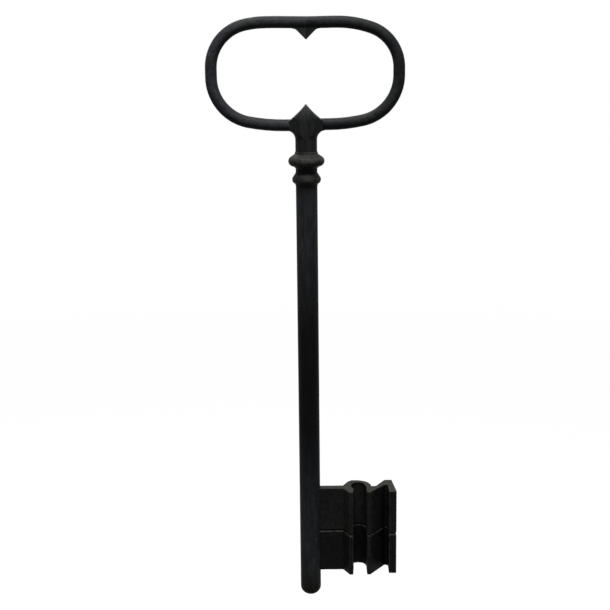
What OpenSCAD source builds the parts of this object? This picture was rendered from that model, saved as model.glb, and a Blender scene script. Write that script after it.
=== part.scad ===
// Oversized iron key, as hung outside a shop for a trade sign.
// A round shank with a folded bit at its foot, two turned collars, and a bow bent from round bar.
// The key hangs upright. Z is the shank's direction, the bow lies in the XZ plane and the bit
// points along +X. Inside the modules, heights start at the shank's tip and X starts at its axis.
// The finished key is moved so that the origin is the point where a hook carries the bow.

/* [Shank] */
// Diameter of the round bar of the shank and neck
shank_d = 31.75; // [29:0.25:34]
// Length from the domed tip to the joint that the upper collar covers
shank_len = 683; // [560:1:800]

/* [Neck and head] */
// Height of the bow's lower bar above the joint of shank and neck
head_rise = 52.8; // [46:0.2:70]
// Width of the head between the two ends of the bow
head_w = 47; // [42:0.5:52]
// Thickness of the head, front to back, at the bow's lower bar
head_t = 22; // [19:0.5:28]
// Radius of the hollow flare between neck and head
flare_r = 12; // [10:0.5:16]
// Height of the lower point above the middle of the bow's lower bar
lower_point_h = 29.2; // [22:0.2:40]
// Thickness of the lower point at its tip
lower_point_t = 7; // [3:0.5:12]
// Radius of the hollow flanks of the lower point
flank_r = 80; // [50:1:200]
// Diameter of the tenon that goes down into the shank
tenon_d = 20; // [14:0.5:22]
// Length of that tenon
tenon_len = 40; // [34:1:80]

/* [Bow] */
// Diameter of the round bar of the bow
bar_d = 17.2; // [14:0.2:20]
// Width of the bow over all
bow_w = 288.4; // [260:0.2:340]
// Bend radius of the upper corners, to the middle of the bar
corner_r = 68.6; // [50:0.2:90]
// Bend radius of the lower corners, to the middle of the bar
lower_r = 76; // [60:0.5:90]
// Drop of the upper point below the bar
upper_point_drop = 15.9; // [8:0.1:24]
// Thickness of the upper point, front to back
upper_point_t = 12; // [6:0.5:13]
// Radius of the fillets beside the upper point
point_fillet_r = 8; // [3:0.5:14]
// Diameter of the tenons on the bow's ends
bow_tenon_d = 11; // [8:0.5:13]
// Length of those tenons
bow_tenon_len = 17.5; // [12:0.5:19]
// Distance of the hook's seat from the middle of the bow, towards the bit
hook_x = 30; // [26:0.5:45]

/* [Collars] */
// Diameter of the upper collar's main bead
upper_collar_d = 53; // [46:0.5:62]
// Radius of that bead's round
upper_round_r = 6.8; // [5.5:0.1:7.5]
// Diameter of the small bead above it
small_bead_d = 43.2; // [39:0.2:46]
// Radius of the small bead's round
small_round_r = 4.6; // [4:0.1:5]
// Reach of the upper collar above the joint
upper_collar_above = 11.3; // [11:0.1:14]
// Reach of the upper collar below the joint
upper_collar_below = 10.5; // [9.5:0.1:14]
// Bare shank between the two collars
collar_gap = 7.3; // [3:0.1:20]
// Diameter of the lower collar
lower_collar_d = 41.6; // [38.4:0.2:50]
// Radius of the lower collar's round
lower_round_r = 7; // [5:0.1:8]
// Height of the lower collar
lower_collar_h = 18.5; // [17:0.1:24]

/* [Bit] */
// Height of the bit's underside above the tip
bit_low = 42; // [24:0.5:120]
// Height of each half of the bit
bit_half_h = 67.5; // [50:0.5:90]
// Thickness of the web that joins the bit to the shank
web_t = 12.7; // [9:0.1:14]
// Reach of the bit from the shank's axis
bit_reach = 133; // [130:0.5:145]
// Distance from the web's middle to the bit's back
bit_back = 28.5; // [26:0.5:34]
// Distance from the web's middle to the bit's two front ridges
bit_front = 26; // [20:0.5:32]
// Reach of the bit's outer lip towards the front
lip_front = 21.7; // [14:0.1:26]
// Distance from the shank's axis to the first fold of the web
web_run = 51; // [40:0.5:53]
// Depth of the channel's floor behind the web's middle
channel_back = 18; // [15:0.5:20]
// Radius of the round corner at the back of the channel
channel_r = 14; // [8:0.5:15]
// Thickness of the wall behind the channel's round corner
channel_wall = 7.4; // [6:0.1:9]
// Depth of the front valley's floor behind the web's middle
valley_back = 8; // [4:0.5:12]
// Depth of the groove at the seam of the two halves
seam_depth = 1; // [0.4:0.1:2]
// Height of that groove on each half
seam_h = 1.2; // [0.5:0.1:3]

/* [Pins and rivets] */
// Diameter of the rivets through shank and bit
rivet_d = 6; // [4:0.5:7]
// Distance of the rivets from the shank's axis
rivet_x = 7; // [5:0.5:8]
// Distance of a rivet from the nearer end of its half of the bit
rivet_inset = 17; // [8:0.5:22]
// Depth of the bit's tongue past the shank's axis
tongue_past = 2; // [0:0.5:5]
// Diameter of the dowels across the bit's seam
dowel_d = 5; // [3:0.5:6]
// Length of those dowels
dowel_len = 30; // [16:1:50]
// Diameter of the pin through shank and neck tenon
neck_pin_d = 6; // [4:0.5:8]
// Diameter of the pins through head and bow tenons
bow_pin_d = 4; // [3:0.5:5]
// Diameter of the dowel at the top of the bow
top_dowel_d = 6; // [4:0.5:8]
// Length of the dowel at the top of the bow
top_dowel_len = 40; // [20:1:60]
// Gap all round between a pin, tenon, tongue or collar and what holds it
fit_gap = 0.05; // [0.03:0.01:0.1]

/* [Hidden] */
$fn = 96;
iron = [0.12, 0.125, 0.13];
worn_iron = [0.2, 0.2, 0.19];
// Overrun of a cut past the face that it opens
cut_over = 1;
// Extra depth of a blind hole past the end of its pin
hole_spare = 0.5;
shank_r = shank_d / 2;
bar_r = bar_d / 2;
// Heights of the bow's bars and bends
bar_z = shank_len + head_rise;
mid_z = bar_z + lower_r;
top_z = mid_z + corner_r;
under_z = top_z - bar_r;
// Distances of the bends from the middle of the bow
side_x = bow_w / 2 - bar_r;
corner_x = side_x - corner_r;
lower_x = side_x - lower_r;
// Heights of the head
flare_z = bar_z - bar_r - flare_r;
shoulder_z = bar_z + bar_r;
point_z = bar_z + lower_point_h;
bow_pin_x = head_w / 2 - bow_tenon_len / 2;
// Heights of the collars
upper_collar_low = shank_len - upper_collar_below;
lower_collar_top = upper_collar_low - collar_gap;
lower_collar_low = lower_collar_top - lower_collar_h;
// Heights of the short cones at the collars' ends, and the thickness that their thin ends keep
lower_cone_h = 1.5;
upper_cone_h = 2.3;
bead_cone_h = 0.4;
collar_edge = 0.8;
collar_bore_r = shank_r + fit_gap;
// Angles, from level, at which the straight stretches of a collar's outline meet its rounds
shoulder_angle = 50;
bead_angle = -35;
cone_angle = 30;
// Radii of the two smaller rounds, limited by the wall between the bore and the outside
small_bead_r = min(small_round_r, small_bead_d / 2 - collar_bore_r);
lower_bead_r = min(lower_round_r,
    (lower_collar_d / 2 - collar_bore_r - collar_edge) / (1 - cos(2 * cone_angle)));
lower_round_z = lower_collar_low + lower_bead_r + lower_cone_h;
upper_round_z = upper_collar_low + upper_round_r + upper_cone_h;
small_round_z = shank_len + upper_collar_above - small_bead_r - bead_cone_h;
neck_pin_z = lower_round_z;
// The bit's folds, from the shank outwards
bit_seam_z = bit_low + bit_half_h;
front_ridge_lap = 2.5;
channel_lap = 4.9;
channel_w = 20.4;
channel_slant = 1.7;
// Widths of the first fold, the back valley's floor, the slanting wall, the outer ridge and its
// slanting end. They open or close together to fill what the channel leaves of the bit's reach
slant_widths = [11, 6.2, 13.1, 11.4, 7.6];
slant_room = bit_reach - web_run - channel_lap - channel_w - channel_wall;
slant_scale = slant_room / (slant_widths * [1, 1, 1, 1, 1]);
fold_x = web_run + slant_widths[0] * slant_scale;
// Cut at the corners of the first fold, and at the edges of the two front ridges
fold_cut = 3;
tip_cut = 1.5;
front_ridge_x = fold_x - front_ridge_lap;
channel_left = fold_x + channel_lap;
channel_right = channel_left + channel_w;
channel_cx = channel_right - channel_r;
channel_cy = channel_back - channel_r;
back_r = bit_back - channel_cy;
back_cx = channel_right + channel_wall - back_r;
// The valley at the back, the outer ridge and its slanting end
valley_end = channel_right + channel_wall + slant_widths[1] * slant_scale;
ridge_start = valley_end + slant_widths[2] * slant_scale;
ridge_end = ridge_start + slant_widths[3] * slant_scale;
// The front ridge beside the channel, the front valley and the lip
front_ridge_w = 6.3;
lip_w = 11.6;
lip_flat = 4;
lip_x = bit_reach - lip_w;
valley_floor_w = 5.5;
valley_round = 2.5;
floor_x = lip_x - valley_floor_w;
dowel_outer_x = (ridge_start + ridge_end) / 2;
dowel_outer_y = (bit_back + valley_back) / 2;
dowel_inner_x = (shank_r + web_run) / 2;
rivet_heights = [
    bit_low + rivet_inset,
    bit_seam_z - rivet_inset,
    bit_seam_z + rivet_inset,
    bit_seam_z + bit_half_h - rivet_inset
];

// Centre of a circle of radius r that passes through p and q, to the left of the way from p to q
function arc_centre(p, q, r) =
    let (d = q - p, half = norm(d) / 2, off = sqrt(r * r - half * half))
    (p + q) / 2 + off * [-d[1], d[0]] / norm(d);

// Point on a circle of radius r about [cx, z], at an angle from level
function on_round(cx, z, r, angle) = [cx + r * cos(angle), z + r * sin(angle)];

// Moves a piece from the shank's own axis to the finished key's origin
module placed() {
    translate([-hook_x, 0, -under_z]) children();
}

// A round pin of diameter d and length len along Y, through the point [x, z]
module pin_along_y(x, z, d, len) {
    translate([x, 0, z]) rotate([90, 0, 0]) cylinder(d = d, h = len, center = true);
}

// A bend of the bow's bar: an arc of radius r about [x, z], from one angle to another
module bend(x, z, r, from, to) {
    translate([x, 0, z]) rotate([90, 0, 0])
        rotate_extrude(angle = to - from, start = from, $fn = 180)
        translate([r, 0]) circle(r = bar_r, $fn = 48);
}

// A straight length of the bow's bar along X
module straight(x, z, len) {
    translate([x, 0, z]) rotate([0, 90, 0]) cylinder(r = bar_r, h = len, $fn = 48);
}

// The round outside of the shank, with its domed tip
module shank_body(inset = 0) {
    rotate_extrude() intersection() {
        union() {
            translate([0, shank_r]) circle(r = shank_r - inset);
            translate([0, shank_r]) square([shank_r - inset, shank_len - shank_r]);
        }
        square([shank_r, shank_len]);
    }
}

module shank() {
    color(iron) placed() difference() {
        shank_body();
        // Socket for the neck's tenon
        translate([0, 0, shank_len - tenon_len - hole_spare])
            cylinder(r = tenon_d / 2 + fit_gap, h = tenon_len + hole_spare + cut_over);
        pin_along_y(0, neck_pin_z, neck_pin_d + 2 * fit_gap, shank_d + 2 * cut_over);
        // Slot for the tongues of the two halves of the bit
        translate([-tongue_past - fit_gap, -web_t / 2 - fit_gap, bit_low - fit_gap])
            cube([shank_r + tongue_past + cut_over, web_t + 2 * fit_gap,
                2 * bit_half_h + 2 * fit_gap]);
        for (z = rivet_heights) pin_along_y(rivet_x, z, rivet_d + 2 * fit_gap, shank_d + 2 * cut_over);
    }
}

// Front outline of the head: straight sides, then hollow flanks up to the point
module head_front() {
    half_w = head_w / 2;
    difference() {
        polygon([[-half_w, shank_len], [half_w, shank_len], [half_w, shoulder_z], [0, point_z],
            [-half_w, shoulder_z]]);
        translate(arc_centre([0, point_z], [half_w, shoulder_z], flank_r)) circle(r = flank_r, $fn = 360);
        translate(arc_centre([-half_w, shoulder_z], [0, point_z], flank_r))
            circle(r = flank_r, $fn = 360);
    }
}

// Side outline of the head, which thins from the neck to the point
module head_side() {
    polygon([[-shank_r, shank_len], [shank_r, shank_len], [shank_r, flare_z], [head_t / 2, bar_z],
        [lower_point_t / 2, point_z], [-lower_point_t / 2, point_z], [-head_t / 2, bar_z],
        [-shank_r, flare_z]]);
}

// Turned outline of the neck and its flare
module neck_turned() {
    difference() {
        union() {
            translate([0, shank_len]) square([shank_r, point_z - shank_len]);
            translate([0, flare_z]) square([shank_r + flare_r, point_z - flare_z]);
        }
        translate([shank_r + flare_r, flare_z]) circle(r = flare_r);
    }
}

// The outside of the neck and head, with no holes and no tenon
module head_body() {
    intersection() {
        rotate_extrude() neck_turned();
        rotate([90, 0, 0]) linear_extrude(4 * shank_r, center = true) head_front();
        rotate([90, 0, 90]) linear_extrude(2 * head_w, center = true) head_side();
    }
}

module neck_head() {
    color(iron) placed() difference() {
        union() {
            head_body();
            translate([0, 0, shank_len - tenon_len]) cylinder(d = tenon_d, h = tenon_len + cut_over);
        }
        // Sockets for the bow's two tenons, and the holes for their pins
        for (side = [-1, 1]) {
            translate([side * head_w / 2, 0, bar_z]) rotate([0, -side * 90, 0])
                translate([0, 0, -cut_over])
                cylinder(r = bow_tenon_d / 2 + fit_gap, h = bow_tenon_len + hole_spare + cut_over);
            pin_along_y(side * bow_pin_x, bar_z, bow_pin_d + 2 * fit_gap, 4 * shank_r);
        }
        pin_along_y(0, neck_pin_z, neck_pin_d + 2 * fit_gap, shank_d);
    }
}

// Right half of the upper point, which hangs under the bow's top bar, with its fillet
module upper_point_outline() {
    tip_z = under_z - upper_point_drop;
    tangent = point_fillet_r * tan(22.5);
    polygon([[0, tip_z], [upper_point_drop, under_z], [upper_point_drop, top_z], [0, top_z]]);
    difference() {
        polygon([[upper_point_drop - tangent * sqrt(0.5), under_z - tangent * sqrt(0.5)],
            [upper_point_drop + tangent, under_z], [upper_point_drop + tangent, top_z],
            [upper_point_drop - tangent, top_z]]);
        translate([upper_point_drop + tangent, under_z - point_fillet_r]) circle(r = point_fillet_r);
    }
}

// One half of the bow, on the right-hand side of the key
module bow_half() {
    difference() {
        union() {
            straight(0, top_z, corner_x);
            bend(corner_x, mid_z, corner_r, 0, 90);
            bend(lower_x, mid_z, lower_r, -90, 0);
            straight(head_w / 2, bar_z, lower_x - head_w / 2);
            rotate([90, 0, 0]) linear_extrude(upper_point_t, center = true) upper_point_outline();
            // Tenon into the head
            translate([head_w / 2 - bow_tenon_len, 0, bar_z]) rotate([0, 90, 0])
                cylinder(d = bow_tenon_d, h = bow_tenon_len + cut_over);
        }
        pin_along_y(bow_pin_x, bar_z, bow_pin_d + 2 * fit_gap, head_t);
        // Hole for the dowel at the top
        translate([-cut_over, 0, top_z]) rotate([0, 90, 0])
            cylinder(r = top_dowel_d / 2 + fit_gap, h = top_dowel_len / 2 + hole_spare + cut_over);
    }
}

module bow_right() {
    color(iron) placed() bow_half();
}

module bow_left() {
    color(iron) placed() mirror([1, 0, 0]) bow_half();
}

module bow_top_dowel() {
    color(iron) placed() translate([0, 0, top_z]) rotate([0, 90, 0])
        cylinder(d = top_dowel_d, h = top_dowel_len, center = true);
}

// A pin through the head and one tenon of the bow, dressed flush with the head's faces
module bow_pin(side) {
    intersection() {
        pin_along_y(side * bow_pin_x, bar_z, bow_pin_d, 4 * shank_r);
        head_body();
    }
}

module bow_pin_left() {
    color(worn_iron) placed() bow_pin(-1);
}

module bow_pin_right() {
    color(worn_iron) placed() bow_pin(1);
}

// Large collar: a main bead, a small bead on its shoulder and a short cone under it
module upper_collar() {
    top = shank_len + upper_collar_above;
    main_cx = upper_collar_d / 2 - upper_round_r;
    small_cx = small_bead_d / 2 - small_bead_r;
    color(worn_iron) placed() rotate_extrude() difference() {
        union() {
            translate([main_cx, upper_round_z]) circle(r = upper_round_r);
            translate([small_cx, small_round_z]) circle(r = small_bead_r);
            polygon([[0, upper_collar_low], [collar_bore_r + collar_edge, upper_collar_low],
                [main_cx, upper_round_z - upper_round_r],
                on_round(main_cx, upper_round_z, upper_round_r, shoulder_angle),
                on_round(small_cx, small_round_z, small_bead_r, bead_angle),
                [small_cx, small_round_z + small_bead_r], [collar_bore_r + collar_edge, top],
                [0, top]]);
        }
        translate([0, upper_collar_low - cut_over])
            square([collar_bore_r, upper_collar_above + upper_collar_below + 2 * cut_over]);
    }
}

// Small collar: one bead under a cone
module lower_collar() {
    round_cx = lower_collar_d / 2 - lower_bead_r;
    color(worn_iron) placed() rotate_extrude() difference() {
        union() {
            translate([round_cx, lower_round_z]) circle(r = lower_bead_r);
            polygon([[0, lower_collar_low], [collar_bore_r + collar_edge, lower_collar_low],
                on_round(round_cx, lower_round_z, lower_bead_r, -2 * cone_angle),
                on_round(round_cx, lower_round_z, lower_bead_r, cone_angle),
                [collar_bore_r + collar_edge, lower_collar_top], [0, lower_collar_top]]);
        }
        translate([0, lower_collar_low - cut_over])
            square([collar_bore_r, lower_collar_h + 2 * cut_over]);
    }
}

// Cross pin through the shank and the neck's tenon, hidden by the lower collar
module neck_pin() {
    color(iron) placed() intersection() {
        pin_along_y(0, neck_pin_z, neck_pin_d, shank_d);
        translate([0, 0, lower_collar_low]) cylinder(r = shank_r, h = lower_collar_h);
    }
}

// Cross section of the bit, seen from above: a web, a round-cornered loop round the ward channel,
// a slanting wall and an outer ridge that ends in a lip. The front is at negative Y
module bit_section() {
    half_t = web_t / 2;
    difference() {
        union() {
            polygon([[-tongue_past, -half_t], [-tongue_past, half_t], [web_run, half_t],
                [fold_x - fold_cut, bit_back - 2 * fold_cut], [fold_x + fold_cut, bit_back],
                [back_cx, bit_back], [back_cx + back_r, channel_cy], [valley_end, channel_cy],
                [ridge_start, bit_back], [ridge_end, bit_back], [bit_reach, lip_flat - lip_front],
                [bit_reach, -lip_front], [lip_x, -lip_front], [lip_x, valley_back - valley_round],
                [lip_x - valley_round, valley_back], [floor_x, valley_back],
                [channel_right + front_ridge_w, tip_cut - bit_front],
                [channel_right + front_ridge_w - tip_cut, -bit_front],
                [channel_right + tip_cut, -bit_front], [channel_right, tip_cut - bit_front],
                [channel_right, 0], [channel_left, 0],
                [channel_left - channel_slant, tip_cut - bit_front],
                [channel_left - channel_slant - tip_cut, -bit_front],
                [front_ridge_x + tip_cut, -bit_front], [front_ridge_x, tip_cut - bit_front],
                [web_run, -half_t]]);
            // Round back corner of the loop
            intersection() {
                translate([back_cx, channel_cy]) circle(r = back_r, $fn = 180);
                translate([back_cx, channel_cy]) square(back_r + cut_over);
            }
        }
        // Ward channel, with a round corner at its back
        difference() {
            polygon([[channel_left - channel_slant, -bit_front], [channel_left, channel_back],
                [channel_right, channel_back], [channel_right, -bit_front]]);
            translate([channel_cx, channel_cy]) difference() {
                square(channel_r + cut_over);
                circle(r = channel_r);
            }
        }
    }
}

// One half of the bit, from z up or from z down, with a shallow groove where it meets the other
module bit_half(side) {
    main_h = bit_half_h - seam_h;
    difference() {
        translate([0, 0, bit_seam_z]) mirror([0, 0, side < 0 ? 1 : 0]) union() {
            translate([0, 0, seam_h]) linear_extrude(main_h) bit_section();
            linear_extrude(seam_h) offset(delta = -seam_depth) bit_section();
        }
        for (z = rivet_heights) pin_along_y(rivet_x, z, rivet_d + 2 * fit_gap, web_t + 2 * cut_over);
        for (spot = [[dowel_inner_x, 0], [dowel_outer_x, dowel_outer_y]])
            translate([spot[0], spot[1], bit_seam_z])
            cylinder(r = dowel_d / 2 + fit_gap, h = dowel_len + 2 * hole_spare, center = true);
    }
}

module bit_upper() {
    color(iron) placed() bit_half(1);
}

module bit_lower() {
    color(iron) placed() bit_half(-1);
}

module bit_dowel(x, y) {
    translate([x, y, bit_seam_z]) cylinder(d = dowel_d, h = dowel_len, center = true);
}

module bit_dowel_inner() {
    color(iron) placed() bit_dowel(dowel_inner_x, 0);
}

module bit_dowel_outer() {
    color(iron) placed() bit_dowel(dowel_outer_x, dowel_outer_y);
}

// A rivet through the shank and the bit's tongue, dressed flush with the round shank
module bit_rivet(count) {
    color(worn_iron) placed() intersection() {
        pin_along_y(rivet_x, rivet_heights[count - 1], rivet_d, shank_d);
        shank_body();
    }
}

module bit_rivet_1() {
    bit_rivet(1);
}

module bit_rivet_2() {
    bit_rivet(2);
}

module bit_rivet_3() {
    bit_rivet(3);
}

module bit_rivet_4() {
    bit_rivet(4);
}

shank();
neck_head();
bow_left();
bow_right();
bow_top_dowel();
bow_pin_left();
bow_pin_right();
upper_collar();
lower_collar();
neck_pin();
bit_upper();
bit_lower();
bit_dowel_inner();
bit_dowel_outer();
bit_rivet_1();
bit_rivet_2();
bit_rivet_3();
bit_rivet_4();
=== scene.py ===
from math import asin, cos, degrees, pi, radians, sin

import bmesh
import bpy
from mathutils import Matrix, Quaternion, Vector


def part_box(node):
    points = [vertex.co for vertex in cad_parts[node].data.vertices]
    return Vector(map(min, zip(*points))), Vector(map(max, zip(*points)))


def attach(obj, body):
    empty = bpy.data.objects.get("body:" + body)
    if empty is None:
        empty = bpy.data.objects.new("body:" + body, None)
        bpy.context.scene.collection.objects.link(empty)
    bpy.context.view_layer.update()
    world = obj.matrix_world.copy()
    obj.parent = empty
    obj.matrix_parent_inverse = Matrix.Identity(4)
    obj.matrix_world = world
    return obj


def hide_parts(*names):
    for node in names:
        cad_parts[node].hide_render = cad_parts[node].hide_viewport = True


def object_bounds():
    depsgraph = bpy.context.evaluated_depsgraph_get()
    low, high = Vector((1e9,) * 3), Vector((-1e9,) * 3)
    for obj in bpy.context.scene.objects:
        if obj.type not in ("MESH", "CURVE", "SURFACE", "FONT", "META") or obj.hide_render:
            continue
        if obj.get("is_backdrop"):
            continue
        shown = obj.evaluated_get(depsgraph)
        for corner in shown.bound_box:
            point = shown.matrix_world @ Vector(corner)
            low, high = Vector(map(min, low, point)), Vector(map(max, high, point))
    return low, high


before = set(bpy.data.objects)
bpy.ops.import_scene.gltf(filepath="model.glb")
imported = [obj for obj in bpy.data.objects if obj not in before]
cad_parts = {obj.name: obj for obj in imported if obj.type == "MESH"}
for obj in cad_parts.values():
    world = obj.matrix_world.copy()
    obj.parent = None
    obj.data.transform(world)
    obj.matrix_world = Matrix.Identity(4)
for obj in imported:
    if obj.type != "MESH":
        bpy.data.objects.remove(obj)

cad_low, cad_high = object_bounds()

# Camera. It stands level with the top of the bow and looks down a little at the middle of the key,
# which leans by a trace, as if it hung from a hook beside its middle. Film and lens are in
# millimetres, and all other sizes in metres.
look_down = radians(13)
lean = radians(0.65)
film_width = 36
lens_length = 73.18
camera_distance = 1.856
looked_at = Vector((-0.0344, 0, -0.4047))
look_back = Vector((0, -cos(look_down), sin(look_down)))
bpy.ops.object.select_all(action="DESELECT")
bpy.ops.object.camera_add(location=looked_at + camera_distance * look_back)
camera = bpy.context.object
camera.rotation_mode = "QUATERNION"
camera.rotation_quaternion = (-look_back).to_track_quat("-Z", "Y") @ Quaternion((0, 0, 1), -lean)
camera.data.sensor_width = film_width
camera.data.lens = lens_length
bpy.context.scene.camera = camera
bpy.context.scene.view_settings.view_transform = "Standard"

# Studio. A cloth box far above the key's front gives the light, and a weaker one behind fills the
# back. Floor and room are plain white to the eye and in reflections. The floor lies well below the
# hanging key, and its glow adds what the lamps' light lacks, near the key and far off.
floor_drop = 1.2
floor_size = 120
floor_colour = (0.12, 0.12, 0.12, 1)
floor_glow = (0.80, 0.985)
glow_reach = 9
room_light = 0.1
cloth_boxes = {
    "front_cloth_box": (Vector((0.0, -1.15, 3.5)), 2.2, 500),
    "back_cloth_box": (Vector((-0.9, 2.6, 2.9)), 1.6, 115),
}


def add_look(tree, kind, feeds=(), **values):
    """A shader node with inputs or settings given by name, and inputs fed by other nodes' outputs."""
    made = tree.nodes.new(kind)
    for name, value in values.items():
        if name in made.inputs:
            made.inputs[name].default_value = value
        else:
            setattr(made, name, value)
    for socket, source in feeds:
        tree.links.new(source, made.inputs[socket])
    return made


def ramp(tree, source, start, end, low=0, high=1):
    """Takes values from start to end over to values from low to high."""
    limits = {"From Min": start, "From Max": end, "To Min": low, "To Max": high}
    return add_look(tree, "ShaderNodeMapRange", [("Value", source)], **limits).outputs["Result"]


def work_out(tree, way, *sources):
    """The sum, product, larger value or other result of outputs."""
    return add_look(tree, "ShaderNodeMath", enumerate(sources), operation=way).outputs[0]


def background_rays(tree):
    """1 for rays that show the white background, to the eye or in a reflection, and 0 for light."""
    path = add_look(tree, "ShaderNodeLightPath").outputs
    reflected = work_out(tree, "MAXIMUM", path["Is Glossy Ray"], path["Is Transmission Ray"])
    return work_out(tree, "MAXIMUM", path["Is Camera Ray"], reflected)


room = bpy.data.worlds.new("studio")
bpy.context.scene.world = room
room.use_nodes = True
tree = room.node_tree
tree.nodes.clear()
strength = ramp(tree, background_rays(tree), 0, 1, room_light, 1)
sky = add_look(tree, "ShaderNodeBackground", [("Strength", strength)], Color=(1, 1, 1, 1))
add_look(tree, "ShaderNodeOutputWorld", [("Surface", sky.outputs[0])])

bpy.ops.mesh.primitive_plane_add(size=floor_size, location=(0, 0, cad_low.z - floor_drop))
floor = bpy.context.object
floor.name = "floor"
bpy.ops.object.transform_apply(location=True)
paper = bpy.data.materials.new("white_paper")
paper.use_nodes = True
tree = paper.node_tree
tree.nodes.clear()
matt = add_look(tree, "ShaderNodeBsdfDiffuse", Color=floor_colour)
floor_place = add_look(tree, "ShaderNodeTexCoord").outputs["Object"]
away = add_look(tree, "ShaderNodeVectorMath", [(0, floor_place)], operation="LENGTH").outputs["Value"]
near_to_far = ramp(tree, away, 0, glow_reach, *floor_glow)
strength = work_out(tree, "MULTIPLY", background_rays(tree), near_to_far)
glow = add_look(tree, "ShaderNodeEmission", [("Strength", strength)])
both = add_look(tree, "ShaderNodeAddShader", [(0, matt.outputs[0]), (1, glow.outputs[0])])
add_look(tree, "ShaderNodeOutputMaterial", [("Surface", both.outputs[0])])
floor.data.materials.append(paper)
floor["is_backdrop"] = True

for name, (place, size, power) in cloth_boxes.items():
    bpy.ops.object.light_add(type="AREA", location=place)
    cloth_box = bpy.context.object
    cloth_box.name = name
    cloth_box.rotation_euler = (looked_at - place).to_track_quat("-Z", "Y").to_euler()
    cloth_box.data.size = size
    cloth_box.data.energy = power

# Shank. One round bar of forged iron with a domed tip, filed lengthwise and blackened. It is bored
# at the top for the neck's tenon and slotted for the tongues of the bit, which four rivets hold.
shank_low, shank_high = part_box("shank")
shank_r = (shank_high.y - shank_low.y) / 2
axis_x = (shank_high.x + shank_low.x) / 2
bar_facets = 96
rod_facets = 48
dome_steps = 12
dome_flat = 0.87
shank_ring = 0.002
fine_wear = 0.00004
wear_detail = 2
tenon_r = 0.010
fit_gap = 0.00005
cut_over = 0.001
speck = 0.001
weld_reach = 1e-6
tenon_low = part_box("neck_head")[0].z
tongue_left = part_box("bit_lower")[0].x
tongue_half = 0.00635
slot_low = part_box("bit_lower")[0].z
bit_rise = 0.0004
slot_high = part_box("bit_upper")[1].z + bit_rise
file_marks = (1, 1, 0.22)
foot_fade = 0.06
faint_shine = 0.03
marks_per_metre = 160
grains_per_metre = 1500
pits_per_metre = 210
scale_span = (0.3, 0.7)
rub_span = 0.05
smooth_angle = radians(32)


def arc(x, z, r, start, end, steps):
    """Points on a circle in the XZ plane about (x, z), from one angle in degrees to another."""
    turns = [radians(start + (end - start) * i / steps) for i in range(steps + 1)]
    return [Vector((x + r * cos(t), 0, z + r * sin(t))) for t in turns]


def trace_outline(name, points):
    """Draws a line of edges with the extrude tool, corner by corner, and stays in edit mode."""
    bpy.ops.object.select_all(action="DESELECT")
    bpy.ops.mesh.primitive_plane_add(size=speck, location=points[0])
    piece = bpy.context.object
    piece.name = name
    bpy.ops.object.transform_apply(location=True)
    bpy.ops.object.mode_set(mode="EDIT")
    bpy.ops.mesh.select_mode(type="VERT")
    bpy.ops.mesh.select_all(action="SELECT")
    bpy.ops.mesh.merge(type="CENTER")
    for here, there in zip(points, points[1:]):
        bpy.ops.mesh.extrude_vertices_move(TRANSFORM_OT_translate={"value": there - here})
    return piece


def pick_edges(piece, test):
    """Selects, in edit mode, the edges of a piece whose middle passes the test."""
    bpy.ops.mesh.select_mode(type="EDGE")
    bpy.ops.mesh.select_all(action="DESELECT")
    form = bmesh.from_edit_mesh(piece.data)
    for edge in form.edges:
        edge.select = test((edge.verts[0].co + edge.verts[1].co) / 2)
    form.select_flush_mode()
    bmesh.update_edit_mesh(piece.data)


def turn_outline():
    """Spins the traced outline round the shank's axis into a closed turned form."""
    bpy.ops.mesh.select_all(action="SELECT")
    bpy.ops.mesh.spin(steps=bar_facets, angle=2 * pi, center=(axis_x, 0, 0), axis=(0, 0, 1))
    bpy.ops.mesh.select_all(action="SELECT")
    bpy.ops.mesh.remove_doubles(threshold=weld_reach)
    bpy.ops.mesh.normals_make_consistent(inside=False)
    bpy.ops.object.mode_set(mode="OBJECT")


def wear_down(piece, depth, patch):
    """Lowers the surface unevenly by up to depth, in patches of about that width."""
    cloud = bpy.data.textures.new(f"{piece.name}_wear", "CLOUDS")
    cloud.noise_scale = patch
    cloud.noise_depth = wear_detail
    wear = piece.modifiers.new("wear", "DISPLACE")
    wear.texture = cloud
    wear.texture_coords = "LOCAL"
    wear.strength = depth
    wear.mid_level = 1
    bpy.context.view_layer.objects.active = piece
    bpy.ops.object.modifier_apply(modifier=wear.name)


def combine(piece, tool, way):
    """Joins, cuts or crosses a piece with a tool's form, and throws the tool away."""
    bpy.ops.object.select_all(action="DESELECT")
    work = piece.modifiers.new("work", "BOOLEAN")
    work.operation = way
    work.object = tool
    bpy.context.view_layer.objects.active = piece
    bpy.ops.object.modifier_apply(modifier=work.name)
    bpy.data.objects.remove(tool)


def block(low, high):
    """A plain block between two corners, to cut with."""
    bpy.ops.object.select_all(action="DESELECT")
    bpy.ops.mesh.primitive_cube_add(size=1, location=(Vector(low) + Vector(high)) / 2)
    made = bpy.context.object
    made.scale = Vector(high) - Vector(low)
    bpy.ops.object.transform_apply(location=True, rotation=False, scale=True)
    return made


def rod(middle, r, length, axis):
    """A round rod along the X, Y or Z axis, given as 0, 1 or 2, to cut or join with."""
    bpy.ops.object.select_all(action="DESELECT")
    turned = [(0, pi / 2, 0), (pi / 2, 0, 0), (0, 0, 0)][axis]
    bpy.ops.mesh.primitive_cylinder_add(
        vertices=rod_facets, radius=r, depth=length, location=middle, rotation=turned)
    bpy.ops.object.transform_apply(location=True, rotation=True, scale=True)
    return bpy.context.object


def drill(piece, *pins):
    """Bores the hole of each pin, a little wider and longer than the pin's own node."""
    for pin in pins:
        low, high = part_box(pin)
        size = list(high - low)
        axis = size.index(max(size))
        tool = rod((low + high) / 2, min(size) / 2 + fit_gap, max(size) + 2 * cut_over, axis)
        combine(piece, tool, "DIFFERENCE")


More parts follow.
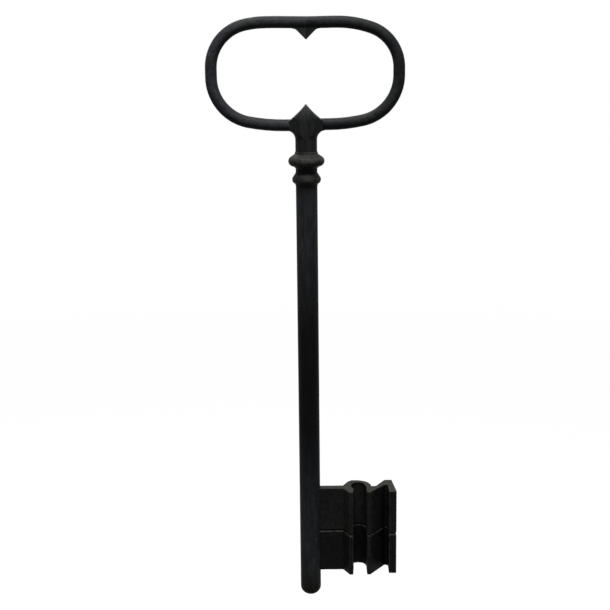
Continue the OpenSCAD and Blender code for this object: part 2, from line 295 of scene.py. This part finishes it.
def tint(tree, share, under, over):
    """Lays the colour over on the output under, by a share from 0 to 1."""
    share_socket, under_socket, over_socket, mixed_socket = 0, 6, 7, 2
    feeds = [(share_socket, share), (under_socket, under)]
    made = add_look(tree, "ShaderNodeMix", feeds, data_type="RGBA")
    made.inputs[over_socket].default_value = (*over, 1)
    return made.outputs[mixed_socket]


def noise(tree, place, **values):
    """A cloudy pattern over a place, from 0 to 1."""
    return add_look(tree, "ShaderNodeTexNoise", [("Vector", place)], **values).outputs["Fac"]


def dent(tree, height, under, strength, distance):
    """Dents the surface by a pattern, over the dents under it if there are any."""
    feeds = [("Height", height)]
    if under:
        feeds.append(("Normal", under))
    return add_look(tree, "ShaderNodeBump", feeds, Strength=strength, Distance=distance).outputs[0]


def blackened_iron(name, dark, pale, worn, marks=(1, 1, 1), edge=0.52, recess_shade=(0.01, 0.12), patch=19,
        top_shading=None, mid_shade=None, foot=None):
    """Forged iron under thin black oxide: patchy tones, scale marks, grain and rubbed edges, with
    painted shade and light. Recess shade gives the width of the recesses that it darkens as painted
    shade and their least tone, patch how many patches lie along a metre, and top shading the painted
    colour of light on upward faces. Mid shade gives the middle, near and far reach and least tone of a
    painted shade by height, and foot a height and the tint below it."""
    made = bpy.data.materials.new(name)
    made.use_nodes = True
    tree = made.node_tree
    shader = tree.nodes["Principled BSDF"]
    shader.inputs["Specular IOR Level"].default_value = faint_shine
    place = add_look(tree, "ShaderNodeTexCoord").outputs["Object"]
    height = add_look(tree, "ShaderNodeSeparateXYZ", [(0, place)]).outputs["Z"]
    along = add_look(tree, "ShaderNodeMapping", [("Vector", place)], Scale=marks).outputs["Vector"]
    patches = noise(tree, place, Scale=patch, Detail=5, Roughness=0.6)
    scale = noise(tree, along, Scale=marks_per_metre, Detail=7, Roughness=0.65)
    grain = noise(tree, along, Scale=grains_per_metre, Detail=2)
    pits = add_look(tree, "ShaderNodeTexVoronoi", [("Vector", place)], Scale=pits_per_metre)
    colour = add_look(tree, "ShaderNodeRGB").outputs[0]
    colour.default_value = (*dark, 1)
    colour = tint(tree, ramp(tree, patches, 0.42, 0.62), colour, pale)
    if foot:
        foot_z, foot_tint = foot
        colour = tint(tree, ramp(tree, height, foot_z, foot_z - foot_fade), colour, foot_tint)
    depth = ramp(tree, scale, *scale_span, 0.5, 1.6)
    # Painted shade: the tone darkens about a middle height, down to the least tone.
    if mid_shade:
        mid_shade_z, near, far, least = mid_shade
        away = add_look(tree, "ShaderNodeMath", [(0, height)], operation="SUBTRACT")
        away.inputs[1].default_value = mid_shade_z
        mid_shade_factor = ramp(tree, work_out(tree, "ABSOLUTE", away.outputs[0]), near, far, least, 1)
        depth = work_out(tree, "MULTIPLY", depth, mid_shade_factor)
    # Painted shade: recesses found by ambient occlusion darken the colour, down to the least tone.
    recess = add_look(tree, "ShaderNodeAmbientOcclusion", Distance=recess_shade[0]).outputs["AO"]
    depth = work_out(tree, "MULTIPLY", depth, ramp(tree, recess, 0.15, 0.75, recess_shade[1], 1))
    shaded = add_look(tree, "ShaderNodeVectorMath", [(0, colour), ("Scale", depth)], operation="SCALE")
    colour = shaded.outputs[0]
    form = add_look(tree, "ShaderNodeNewGeometry").outputs
    broken = ramp(tree, scale, 0.36, 0.56)
    # Painted light: upward faces take a colour of their own, patchy where the scale is broken.
    if top_shading:
        up = add_look(tree, "ShaderNodeSeparateXYZ", [(0, form["Normal"])]).outputs["Z"]
        top_shading_share = work_out(tree, "MULTIPLY", ramp(tree, up, 0.15, 0.75), broken)
        colour = tint(tree, top_shading_share, colour, top_shading)
    rubbed = work_out(tree, "MULTIPLY", ramp(tree, form["Pointiness"], edge, edge + rub_span), broken)
    tree.links.new(tint(tree, rubbed, colour, worn), shader.inputs["Base Color"])
    tree.links.new(ramp(tree, scale, *scale_span, 0.42, 0.64), shader.inputs["Roughness"])
    pitted = ramp(tree, pits.outputs["Distance"], 0.05, 0.3)
    surface = dent(tree, pitted, None, strength=0.25, distance=0.0002)
    surface = dent(tree, scale, surface, strength=0.6, distance=0.0003)
    surface = dent(tree, grain, surface, strength=0.5, distance=0.00005)
    tree.links.new(surface, shader.inputs["Normal"])
    return made


def finish_piece(piece, material, node):
    """Smooths and colours a piece, and lets it ride and stand for its CAD node."""
    bpy.ops.object.select_all(action="DESELECT")
    piece.select_set(True)
    bpy.context.view_layer.objects.active = piece
    bpy.ops.object.shade_smooth_by_angle(angle=smooth_angle)
    piece.data.materials.clear()
    piece.data.materials.append(material)
    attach(piece, "root")
    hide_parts(node)


outline = arc(axis_x, shank_r, shank_r, -90, 0, dome_steps)
outline = [Vector((p.x, 0, shank_low.z + dome_flat * p.z)) for p in outline]
outline += [Vector((axis_x + x, 0, z)) for x, z in [
    (shank_r, shank_high.z), (tenon_r + fit_gap, shank_high.z),
    (tenon_r + fit_gap, tenon_low - fit_gap), (0, tenon_low - fit_gap)]]
shank = trace_outline("shank_bar", outline)
wall_z = (shank_low.z + dome_flat * shank_r + shank_high.z) / 2
pick_edges(shank, lambda at: abs(at.x - axis_x - shank_r) < fit_gap and abs(at.z - wall_z) < shank_r)
bpy.ops.mesh.subdivide(number_cuts=int((shank_high.z - shank_low.z) / shank_ring))
turn_outline()
wear_down(shank, depth=1.6 * fine_wear, patch=0.03)
wear_down(shank, depth=fine_wear, patch=0.007)
slot_low_corner = (tongue_left - fit_gap, -tongue_half - fit_gap, slot_low - fit_gap)
slot_high_corner = (axis_x + 2 * shank_r, tongue_half + fit_gap, slot_high + fit_gap)
combine(shank, block(slot_low_corner, slot_high_corner), "DIFFERENCE")
drill(shank, "neck_pin", "bit_rivet_1", "bit_rivet_2", "bit_rivet_3", "bit_rivet_4")
# Painted shade: the shank darkens about its middle height and in its recesses.
shank_finish = blackened_iron(
    "filed_shank_iron", dark=(0.0108, 0.0118, 0.0137), pale=(0.0146, 0.0152, 0.0156),
    worn=(0.030, 0.030, 0.029), marks=file_marks, mid_shade=(-0.52, 0.08, 0.20, 0.16),
    foot=(-0.81, (0.0046, 0.0045, 0.0031)))
finish_piece(shank, shank_finish, "shank")

# Neck and head. Forged in one piece: a round neck that flares into a head with a rounded front and
# back, and thins to a point between two hollow flanks. A tenon under it goes into the shank.
head_low, head_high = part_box("neck_head")
bow_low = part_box("bow_left")[0]
bow_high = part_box("bow_right")[1]
bar_r = bow_high.y
bar_z = bow_low.z + bar_r
head_half = (head_high.x - head_low.x) / 2
head_half_t = 0.0145
head_blend = 0.0044
head_plan_x = 0.0283
head_plan_y = 0.0161
bar_lap = 0.0059
point_half_t = 0.0035
flank_r = 0.110
flare_r = 0.0135
flare_z = bar_z - bar_r - flare_r
shoulder_z = bar_z + bar_r - bar_lap
blend_x = head_half + head_blend
beyond_x = 2 * head_half
beyond_y = 2 * shank_r
curve_steps = 8
head_grain = 0.0005


def close_outline(thickness):
    """Fills the traced outline and pulls it out into a closed form, and leaves edit mode."""
    bpy.ops.mesh.select_all(action="SELECT")
    bpy.ops.mesh.edge_face_add()
    bpy.ops.mesh.extrude_region_move(TRANSFORM_OT_translate={"value": thickness})
    bpy.ops.mesh.select_all(action="SELECT")
    bpy.ops.mesh.normals_make_consistent(inside=False)
    bpy.ops.object.mode_set(mode="OBJECT")


def soften(piece, grain, passes):
    """Fuses a piece's forms into one even mesh of that grain, and rounds its edges a little."""
    fuse = piece.modifiers.new("fuse", "REMESH")
    fuse.mode = "VOXEL"
    fuse.voxel_size = grain
    ease = piece.modifiers.new("ease", "SMOOTH")
    ease.factor = 0.5
    ease.iterations = passes
    bpy.ops.object.select_all(action="DESELECT")
    bpy.context.view_layer.objects.active = piece
    for modifier in (fuse, ease):
        bpy.ops.object.modifier_apply(modifier=modifier.name)


def flank(side):
    """Points down one hollow flank of the lower point, from the tip to where it runs into the bar."""
    tip = Vector((axis_x, 0, head_high.z))
    shoulder = Vector((axis_x + side * blend_x, 0, shoulder_z))
    across = shoulder - tip
    rise = (flank_r ** 2 - (across.length / 2) ** 2) ** 0.5
    out = Vector((side * abs(across.z), 0, abs(across.x))).normalized()
    middle = (tip + shoulder) / 2 + rise * out
    chord = [tip + across * i / curve_steps for i in range(curve_steps + 1)]
    return [middle + flank_r * (p - middle).normalized() for p in chord]


front = flank(1) + [Vector((axis_x + side * blend_x, 0, shank_high.z)) for side in (1, -1)]
front += flank(-1)[:0:-1]
head_front = trace_outline("head_front", [p - Vector((0, beyond_y, 0)) for p in front])
close_outline(Vector((0, 2 * beyond_y, 0)))
rise = head_high.z - bar_z
thinner = head_half_t - point_half_t
crown_r = (rise ** 2 + thinner ** 2) / (2 * thinner)
crown = arc(head_half_t - crown_r, bar_z, crown_r, 0, degrees(asin(rise / crown_r)), curve_steps)
profile = [(shank_r, shank_high.z), (shank_r, flare_z)] + [(p.x, p.z) for p in crown]
profile += [(-y, z) for y, z in reversed(profile)]
head_side = trace_outline("head_side", [Vector((axis_x - beyond_x, y, z)) for y, z in profile])
close_outline(Vector((2 * beyond_x, 0, 0)))
head_plan = rod((0, 0, bar_z), head_plan_y, 4 * beyond_x, axis=2)
head_plan.scale.x = head_plan_x / head_plan_y
head_plan.location.x = axis_x
bpy.ops.object.transform_apply(location=True, rotation=False, scale=True)
flare = arc(axis_x + shank_r + flare_r, flare_z, flare_r, 180, 90, curve_steps)
outline = [Vector((axis_x + x, 0, shank_high.z)) for x in (0, shank_r)] + flare
outline += [Vector((axis_x + x, 0, z)) for x, z in [
    (beyond_x, flare[-1].z), (beyond_x, head_high.z), (0, head_high.z)]]
head = trace_outline("neck_and_head", outline)
turn_outline()
combine(head, head_front, "INTERSECT")
combine(head, head_side, "INTERSECT")
combine(head, head_plan, "INTERSECT")
soften(head, head_grain, passes=3)
wear_down(head, depth=2 * fine_wear, patch=0.02)
tenon_middle = (axis_x, 0, (tenon_low + shank_high.z) / 2 + cut_over)
combine(head, rod(tenon_middle, tenon_r, shank_high.z - tenon_low + 2 * cut_over, axis=2), "UNION")
drill(head, "neck_pin")
# Painted light on the head's upward faces, and faint painted shade in its recesses.
head_finish = blackened_iron(
    "forged_head_iron", dark=(0.0068, 0.0071, 0.0076), pale=(0.0096, 0.0098, 0.0099),
    worn=(0.030, 0.030, 0.029), marks=file_marks, recess_shade=(0.004, 0.5), top_shading=(0.0155, 0.0156, 0.0155))
finish_piece(head, head_finish, "neck_head")

# Bow. Two halves bent by hand from round bar, so that no bend quite matches its twin. They butt at
# the top, where each carries half of the upper point, and their lower ends go into the head.
joint_shift = 0.0012
joint_x = axis_x + joint_shift
top_z = bow_high.z - bar_r
right_short = 0.001
joint_drop = 0.001
rise_run = 0.040
top_slack_r = 0.150
point_drop = 0.0154
point_half = 0.006
fillet_r = 0.008
fillet_steps = 6
bar_into_head = 0.004
bow_grain = 0.0009
bend_step = 3


def bend_on(end, side, turn, r, angle):
    """Bends the bar on from its open end by an angle in degrees, and gives the new end and turn."""
    middle = end - r * Vector((side * sin(turn), 0, cos(turn)))
    steps = round(angle / bend_step)
    bpy.ops.mesh.spin(steps=steps, angle=side * radians(angle), center=middle, axis=(0, -1, 0))
    turn += radians(angle)
    return middle + r * Vector((side * sin(turn), 0, cos(turn))), turn


def run_on(end, goal):
    """Draws the bar out straight to a new end."""
    bpy.ops.mesh.extrude_region_move(TRANSFORM_OT_translate={"value": goal - end})
    return goal


def bow_half(name, side, reach, drop, top_slack, corner_r, lower_r, slack_r, slack, bar_drop):
    """One half of the bow, on side 1 or -1 and reaching that far from the axis. The bar rises a little
    from the joint, takes a slack curve and a corner, runs down, and takes a lower corner and a slack
    curve into the head. Angles are in degrees, and the drops lower its top and its foot."""
    bar_top = top_z - drop
    start = Vector((joint_x - side * bar_r, 0, top_z - joint_drop))
    slack_start = reach - bar_r - corner_r - (top_slack_r - corner_r) * sin(radians(top_slack))
    bpy.ops.object.select_all(action="DESELECT")
    bpy.ops.mesh.primitive_circle_add(
        vertices=rod_facets, radius=bar_r, fill_type="NGON", location=start, rotation=(0, pi / 2, 0))
    piece = bpy.context.object
    piece.name = name
    bpy.ops.object.transform_apply(location=True, rotation=True)
    bpy.ops.object.mode_set(mode="EDIT")
    bpy.ops.mesh.select_all(action="SELECT")
    end = run_on(start, Vector((axis_x + side * rise_run, 0, bar_top)))
    end = run_on(end, Vector((axis_x + side * slack_start, 0, bar_top)))
    end, turn = bend_on(end, side, 0, top_slack_r, top_slack)
    end, turn = bend_on(end, side, turn, corner_r, 90 - top_slack)
    low_z = bar_z - bar_drop + slack_r - (slack_r - lower_r) * cos(radians(slack))
    end = run_on(end, Vector((end.x, 0, low_z)))
    end, turn = bend_on(end, side, turn, lower_r, 90 - slack)
    end, turn = bend_on(end, side, turn, slack_r, slack)
    run_on(end, Vector((axis_x + side * (head_half - bar_into_head), 0, end.z)))
    bpy.ops.mesh.select_all(action="SELECT")
    bpy.ops.mesh.normals_make_consistent(inside=False)
    bpy.ops.object.mode_set(mode="OBJECT")
    tangent = fillet_r * (2 ** 0.5 - 1)
    under_z = top_z - joint_drop - bar_r
    fillet = arc(point_drop + tangent, under_z - fillet_r, fillet_r, 135, 90, fillet_steps)
    shape = [Vector((x, 0, z)) for x, z in [
        (-bar_r, top_z - bar_r), (-bar_r, under_z - point_drop + bar_r), (0, under_z - point_drop)]]
    shape += fillet + [Vector((point_drop + tangent, 0, top_z - bar_r))]
    trace_outline("point", [Vector((joint_x + side * p.x, -point_half, p.z)) for p in shape])
    close_outline(Vector((0, 2 * point_half, 0)))
    piece.select_set(True)
    bpy.context.view_layer.objects.active = piece
    bpy.ops.object.join()
    soften(piece, bow_grain, passes=2)
    wear_down(piece, depth=2.5 * fine_wear, patch=0.02)
    bpy.ops.object.mode_set(mode="EDIT")
    bpy.ops.mesh.select_all(action="SELECT")
    bpy.ops.mesh.bisect(plane_co=(joint_x, 0, 0), plane_no=(side, 0, 0), use_fill=True, clear_inner=True)
    bpy.ops.object.mode_set(mode="OBJECT")
    return piece


# Painted light: the left half is coloured paler than the right, as if lit from the left, and both halves
# take the same painted light on upward faces.
bow_top_shading = (0.0104, 0.0105, 0.0104)
lit_left_finish = blackened_iron(
    "lit_left_bow_iron", dark=(0.0142, 0.0154, 0.0176), pale=(0.0184, 0.0191, 0.0194),
    worn=(0.036, 0.036, 0.035), top_shading=bow_top_shading)
shaded_right_finish = blackened_iron(
    "shaded_right_bow_iron", dark=(0.0078, 0.0085, 0.0098), pale=(0.0108, 0.0112, 0.0114),
    worn=(0.030, 0.030, 0.029), top_shading=bow_top_shading)
left_half = bow_half(
    "bow_left_half", side=-1, reach=axis_x - bow_low.x, drop=0, top_slack=12,
    corner_r=0.0618, lower_r=0.0652, slack_r=0.272, slack=11.1, bar_drop=0.0013)
finish_piece(left_half, lit_left_finish, "bow_left")
right_half = bow_half(
    "bow_right_half", side=1, reach=bow_high.x - axis_x - right_short, drop=0.0004, top_slack=19.2,
    corner_r=0.0598, lower_r=0.0659, slack_r=0.237, slack=11.9, bar_drop=0.0003)
finish_piece(right_half, shaded_right_finish, "bow_right")

# Collars. Both are turned from iron, bored to the bar's size and shrunk on hot. The larger has a
# round edge under a cone, and a thin sleeve above that, and the smaller has a round edge between two
# cones. Hands and cloths have rubbed both in places.
sleeve_t = 0.0004
sleeve_rise = 0.0018
sleeve_low = 0.0014
sleeve_foot = 0.0008
sleeve_steps = 4
main_round_r = 0.0075
main_round_ends = (-90, 55)
main_round_steps = 28
main_cone_h = 0.0026
lower_round_r = 0.007
lower_round_ends = (-70, 44)
lower_round_steps = 22
lower_cone_h = 0.0021
lower_swell = 0.0003
bore_r = shank_r + fit_gap
edge_x = axis_x + bore_r + sleeve_t


def turn_collar(name, curve):
    """Turns a collar from its outer curve, with a straight bore."""
    low_z, high_z = curve[0].z, curve[-1].z
    bore = [Vector((axis_x + bore_r, 0, high_z)), Vector((axis_x + bore_r, 0, low_z)), curve[0]]
    piece = trace_outline(name, curve + bore)
    turn_outline()
    wear_down(piece, depth=2 * fine_wear, patch=0.006)
    return piece


# Both collars take painted light on their upward faces.
large_finish = blackened_iron(
    "rubbed_collar_iron", dark=(0.0080, 0.0080, 0.0078), pale=(0.0205, 0.0200, 0.0178),
    worn=(0.062, 0.059, 0.051), edge=0.505, patch=70, top_shading=(0.0112, 0.0110, 0.0101))
low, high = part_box("upper_collar")
round_x = high.x - main_round_r
round_z = low.z + main_round_r + main_cone_h
curve = [Vector((edge_x, 0, low.z))]
curve += arc(round_x, round_z, main_round_r, *main_round_ends, main_round_steps)
curve.append(Vector((edge_x + sleeve_foot, 0, high.z - sleeve_low)))
curve += arc(edge_x, high.z + sleeve_rise - sleeve_t, sleeve_t, 0, 90, sleeve_steps)
finish_piece(turn_collar("large_collar", curve), large_finish, "upper_collar")

small_finish = blackened_iron(
    "turned_collar_iron", dark=(0.0085, 0.0086, 0.0087), pale=(0.0190, 0.0188, 0.0182),
    worn=(0.045, 0.044, 0.041), edge=0.505, patch=70, top_shading=(0.0072, 0.0072, 0.0070))
low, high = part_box("lower_collar")
round_x = high.x + lower_swell - lower_round_r
round_z = low.z + lower_round_r + lower_cone_h
curve = [Vector((edge_x, 0, low.z))]
curve += arc(round_x, round_z, lower_round_r, *lower_round_ends, lower_round_steps)
curve.append(Vector((edge_x, 0, high.z)))
finish_piece(turn_collar("small_collar", curve), small_finish, "lower_collar")

# Bit. Two halves, one above the other, each folded and forged from thick plate: a flat web, a loop
# round the hollow ward channel, a slanting wall and an outer ridge with a lip. Each has a tongue in
# the shank's slot, and two dowels line them up.
bit_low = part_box("bit_lower")[0]
bit_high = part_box("bit_upper")[1]
seam_drop = 0.0008
seam_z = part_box("bit_upper")[0].z - seam_drop
reach = bit_high.x - axis_x
back = bit_high.y
front_y = bit_low.y
web_run = 0.051
fold_x = 0.062
fold_cut = 0.003
tip_cut = 0.0015
loop_x = 0.0713
loop_y = 0.0045
valley_y = 0.003
valley_end = 0.1022
ridge_start = 0.1170
ridge_end = 0.1286
lip_y = -0.0217
lip_flat = 0.004
lip_x = 0.1214
floor_x = 0.1163
floor_y = 0.008
floor_round = 0.0025
channel_left = 0.0676
channel_right = 0.0873
channel_slant = 0.0017
channel_back = 0.018
hollow_left = 0.0630
upper_draft = 1.38
lower_draft = 0.96
upper_lip_back = 0.003
ridge_left = 0.0595
ridge_w = 0.0063
upper_seam_cut = 0.0012
upper_seam_h = 0.0010
lower_seam_cut = 0.0026
lower_seam_h = 0.0028
end_cut = 0.0003
loop_steps = 18
hollow_steps = 24
mouth_round = 0.0045
mouth_steps = 4
bit_grain = 0.00075


def section_arc(x, y, r, start, end, steps):
    """Points on an arc of the bit's section, about (x, y)."""
    return [(p.x, p.z) for p in arc(x, y, r, start, end, steps)]


def beside(at, spots):
    """Tells whether a place is right beside one of the spots."""
    return min((at - spot).length for spot in spots) < 2 * end_cut


# The section starts at the back of the tongue and runs round the bit's outer end, the channel and the
# left ridge. Its x is measured from the shank's axis.
loop_r = back - loop_y
section = [(tongue_left - axis_x, tongue_half), (web_run, tongue_half)]
section += [(fold_x - fold_cut, back - 2 * fold_cut), (fold_x + fold_cut, back)]
section += section_arc(loop_x, loop_y, loop_r, 90, 0, loop_steps)
section += [(loop_x + loop_r, valley_y), (valley_end, valley_y), (ridge_start, back), (ridge_end, back)]
section += [(reach, lip_y + lip_flat), (reach, lip_y), (lip_x, lip_y)]
section += [(lip_x, floor_y - floor_round), (lip_x - floor_round, floor_y), (floor_x, floor_y)]
section += [(channel_right + ridge_w, front_y + tip_cut), (channel_right + ridge_w - tip_cut, front_y)]
section += [(channel_right + tip_cut, front_y), (channel_right, front_y + tip_cut)]
hollow_x = (channel_right + hollow_left) / 2
hollow_r = channel_right - hollow_x
lip_angle = 270 - degrees(asin((hollow_x - channel_left) / hollow_r))
mouth = section_arc(hollow_x, channel_back - hollow_r, hollow_r, 0, lip_angle, hollow_steps)
section += mouth + [(channel_left - channel_slant, front_y + tip_cut / 3)]
section += [(channel_left - channel_slant - tip_cut / 3, front_y), (ridge_left + tip_cut, front_y)]
section += [(ridge_left, front_y + tip_cut)]
section += [(web_run, -tongue_half), (tongue_left - axis_x, -tongue_half)]


def bit_half(name, end_z, seam_cut, seam_h, draft, lip_back):
    """One half of the bit, from its end face at end_z to the seam, with its edge at the seam cut off.
    From the seam to the end, the channel grows deeper by the draft, and its lips lean back."""
    up = 1 if seam_z > end_z else -1
    start_z = end_z + up * end_cut
    piece = trace_outline(name, [Vector((axis_x + x, y, start_z)) for x, y in section])
    main_h = abs(seam_z - end_z) - seam_h - end_cut
    bpy.ops.mesh.select_all(action="SELECT")
    bpy.ops.mesh.edge_face_add()
    bpy.ops.mesh.extrude_region_move(TRANSFORM_OT_translate={"value": (0, 0, up * main_h)})
    bpy.ops.mesh.select_all(action="SELECT")
    bpy.ops.mesh.normals_make_consistent(inside=False)
    for z, inset, rise in ((start_z, end_cut, end_cut), (start_z + up * main_h, seam_cut, seam_h)):
        bpy.ops.mesh.select_mode(type="FACE")
        bpy.ops.mesh.select_all(action="DESELECT")
        form = bmesh.from_edit_mesh(piece.data)
        for face in form.faces:
            face.select = all(abs(v.co.z - z) < fit_gap for v in face.verts)
        bmesh.update_edit_mesh(piece.data)
        bpy.ops.mesh.inset(thickness=inset, depth=rise, use_even_offset=True)
    rim = [Vector((axis_x + x, y, end_z)) for x, y in mouth]
    rim_spots = [(here + there) / 2 for here, there in zip(rim, rim[1:])]
    pick_edges(piece, lambda at: beside(at, rim_spots))
    hollow_middle = Vector((axis_x + hollow_x, channel_back - hollow_r, end_z))
    bpy.ops.transform.resize(value=(1, draft, 1), center_override=hollow_middle)
    pick_edges(piece, lambda at: abs(at.z - end_z) < 2 * end_cut and at.y < front_y + 2 * tip_cut)
    bpy.ops.transform.translate(value=(0, lip_back, 0))
    for spot in rim_spots:
        spot.y = hollow_middle.y + draft * (spot.y - hollow_middle.y)
    pick_edges(piece, lambda at: abs(at.z - end_z) < fit_gap and beside(at, rim_spots))
    bpy.ops.mesh.bevel(offset=mouth_round, segments=mouth_steps)
    bpy.ops.object.mode_set(mode="OBJECT")
    soften(piece, bit_grain, passes=2)
    wear_down(piece, depth=3 * fine_wear, patch=0.012)
    return piece


# Both halves take painted light on upward faces, strongest on the lower half's edge at the seam, and
# painted shade deep in the channel.
lower_finish = blackened_iron(
    "folded_lower_bit_iron", dark=(0.0034, 0.0035, 0.0034), pale=(0.0048, 0.0047, 0.0046),
    worn=(0.040, 0.040, 0.037), edge=0.505, recess_shade=(0.016, 0.18), top_shading=(0.0262, 0.0260, 0.0246))
bit_lower = bit_half(
    "lower_bit_half", end_z=bit_low.z, seam_cut=lower_seam_cut, seam_h=lower_seam_h,
    draft=lower_draft, lip_back=0)
finish_piece(bit_lower, lower_finish, "bit_lower")

upper_finish = blackened_iron(
    "folded_upper_bit_iron", dark=(0.0056, 0.0057, 0.0056), pale=(0.0078, 0.0077, 0.0073),
    worn=(0.027, 0.027, 0.024), edge=0.51, recess_shade=(0.016, 0.17), top_shading=(0.0138, 0.0136, 0.0112))
bit_upper = bit_half(
    "upper_bit_half", end_z=bit_high.z + bit_rise, seam_cut=upper_seam_cut, seam_h=upper_seam_h,
    draft=upper_draft, lip_back=upper_lip_back)
finish_piece(bit_upper, upper_finish, "bit_upper")

# Pins, dowels and rivets. All are plain iron rod. The pins and rivets are driven in and dressed flush,
# so that hardly a trace shows, and the dowels lie hidden in the joints.
pin_finish = blackened_iron(
    "plain_rod_iron", dark=(0.0115, 0.0120, 0.0130), pale=(0.0150, 0.0150, 0.0150),
    worn=(0.0150, 0.0150, 0.0150), marks=file_marks, edge=0.9)
rods = ["neck_pin", "bow_top_dowel", "bow_pin_left", "bow_pin_right"]
rods += ["bit_dowel_inner", "bit_dowel_outer"]
rods += [f"bit_rivet_{count}" for count in (1, 2, 3, 4)]
for pin in rods:
    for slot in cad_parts[pin].material_slots:
        slot.material = pin_finish

bpy.context.view_layer.update()
low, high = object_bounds()
